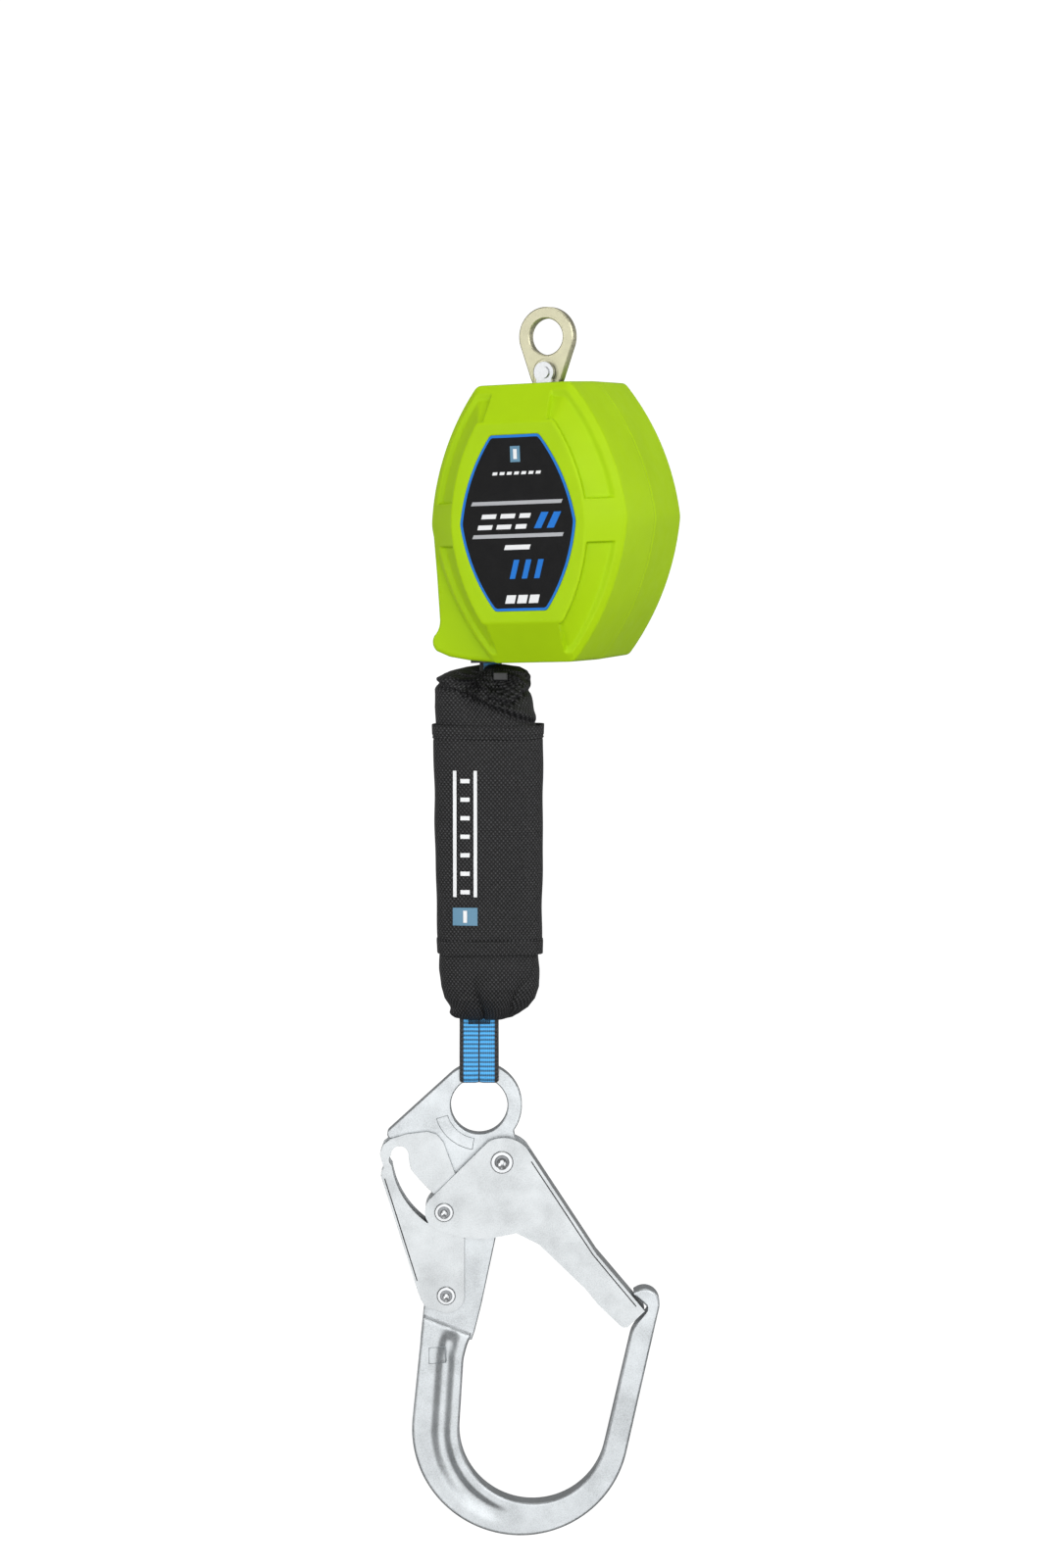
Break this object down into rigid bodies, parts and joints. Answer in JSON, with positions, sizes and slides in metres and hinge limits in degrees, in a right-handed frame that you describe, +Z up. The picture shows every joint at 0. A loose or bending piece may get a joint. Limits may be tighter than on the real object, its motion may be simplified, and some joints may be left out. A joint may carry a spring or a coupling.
{
  "type": "self retracting lifeline",
  "caption": "Compact web self retracting lifeline: swivel eye, two-shell housing with drum and brake, covered energy absorber and large forged snap hook with double-action gate.",
  "frame": {"origin": "centre of the anchor eye's hole", "axes": "+Z up towards the anchor, -Y the labelled front of the housing, +X to the right of someone facing that front"},
  "size_m": [0.1479, 0.0862, 0.6421],
  "materials": {
    "lime_shell": "moulded, fine grain, satin",
    "label_print": "printed film, fine grain, blue border",
    "rear_plate": "printed film, blank data fields",
    "yellow_zinc": "pale yellow zinc plating",
    "zinc_steel": "bright zinc plating over forged steel",
    "sheet_zinc": "bright zinc plating over pressed sheet",
    "bright_steel": "polished",
    "frame_steel": "rolled plate, zinc plated",
    "spring_steel": "blued strip and wire",
    "bronze": "sintered bronze",
    "alloy": "die cast",
    "black_plastic": "moulded nylon",
    "black_nylon": "ballistic nylon, basket weave",
    "tear_web": "folded polyester tear webbing",
    "blue_web": "woven polyester, black edges",
    "black_thread": "bar tack"
  },
  "bodies": {
    "anchor": {"eye_plate": "yellow_zinc"},
    "swivel": {"swivel_clevis": "bright_steel", "eye_pin": "bright_steel", "swivel_washer": "frame_steel", "swivel_nut": "frame_steel"},
    "housing": {"front_shell": "lime_shell", "rear_shell": "lime_shell", "front_label": "label_print", "rear_label": "rear_plate", "housing_screws": "frame_steel", "web_guide": "black_plastic", "frame_bracket": "frame_steel", "swivel_bushing": "bronze", "frame_spacers": "frame_steel", "frame_bolts": "frame_steel", "shaft_bushings": "bronze", "ratchet_ring": "frame_steel", "spring_case": "black_plastic", "spring_cover": "black_plastic", "spring_cover_screws": "frame_steel", "power_spring": "spring_steel"},
    "drum": {"drum": "alloy", "web_anchor_pin": "frame_steel", "web_roll": "blue_web", "main_shaft": "frame_steel", "shaft_circlip": "spring_steel", "pawl_pins": "frame_steel", "spring_posts": "frame_steel", "pawl_spring_a": "spring_steel", "pawl_spring_b": "spring_steel", "spring_arbor": "alloy"},
    "pawl_a": {"pawl_a": "frame_steel"},
    "pawl_b": {"pawl_b": "frame_steel"},
    "lifeline": {"lifeline_web": "blue_web"},
    "absorber": {"absorber_cover": "black_nylon", "absorber_sleeve": "black_nylon", "absorber_pack": "tear_web", "cable_tie": "black_plastic", "hook_web_loop": "blue_web", "loop_stitching": "black_thread"},
    "hook": {"hook_body": "zinc_steel", "gate_spring": "spring_steel", "lever_spring": "spring_steel"},
    "gate": {"gate": "sheet_zinc", "gate_rivet": "zinc_steel", "cross_pin": "zinc_steel"},
    "lever": {"lock_lever": "sheet_zinc", "lever_rivet": "zinc_steel"}
  },
  "joints": [
    {"name": "eye_pivot", "type": "hinge", "parent": "anchor", "child": "swivel", "pos_m": [0, 0, -0.0181], "axis": [0, 1, 0], "range_deg": [-45, 45]},
    {"name": "housing_swivel", "type": "hinge", "parent": "swivel", "child": "housing", "pos_m": [0.00067, 0, -0.03399], "axis": [-0.0419, 0, 0.9991], "continuous": true},
    {"name": "lifeline_payout", "type": "slide", "parent": "housing", "child": "lifeline", "axis": [0, 0, -1], "range_m": [0, 2.7], "stiffness_N_per_m": 5, "springref_m": -3.2, "deforming": ["lifeline_web"]},
    {"name": "drum_spin", "type": "hinge", "parent": "housing", "child": "drum", "pos_m": [0.00318, 0, -0.09393], "axis": [0, -1, 0], "range_deg": [0, 4500], "deforming": ["power_spring", "web_roll"]},
    {"name": "pawl_a_swing", "type": "hinge", "parent": "drum", "child": "pawl_a", "pos_m": [0.03016, 0, -0.0928], "axis": [0, 1, 0], "range_deg": [0, 9], "stiffness_Nm_per_rad": 0.05, "springref_deg": -11.46, "deforming": ["pawl_spring_a"]},
    {"name": "pawl_b_swing", "type": "hinge", "parent": "drum", "child": "pawl_b", "pos_m": [-0.0238, 0, -0.09506], "axis": [0, 1, 0], "range_deg": [0, 9], "stiffness_Nm_per_rad": 0.05, "springref_deg": -11.46, "deforming": ["pawl_spring_b"]},
    {"name": "absorber_swing", "type": "hinge", "parent": "lifeline", "child": "absorber", "pos_m": [-0.0324, 0, -0.16729], "axis": [0, 1, 0], "range_deg": [-15, 15]},
    {"name": "hook_swing", "type": "hinge", "parent": "absorber", "child": "hook", "pos_m": [-0.03802, -0.00262, -0.39845], "axis": [0.4226, -0.9063, 0], "range_deg": [-30, 30]},
    {"name": "gate_open", "type": "hinge", "parent": "hook", "child": "gate", "pos_m": [-0.02724, 0.00241, -0.42735], "axis": [-0.4226, 0.9063, 0], "range_deg": [0, 48], "stiffness_Nm_per_rad": 0.12, "springref_deg": -68.75, "deforming": ["gate_spring"]},
    {"name": "lever_squeeze", "type": "hinge", "parent": "hook", "child": "lever", "pos_m": [-0.0537, -0.00993, -0.49845], "axis": [-0.4226, 0.9063, 0], "range_deg": [0, 12], "stiffness_Nm_per_rad": 0.12, "springref_deg": -34.38}
  ],
  "couplings": [
    {"joint": "drum_spin", "follows": "lifeline_payout", "rad_per_m": 29.089},
    {"joint": "lever_squeeze", "follows": "gate_open", "ratio": 0.25}
  ]
}
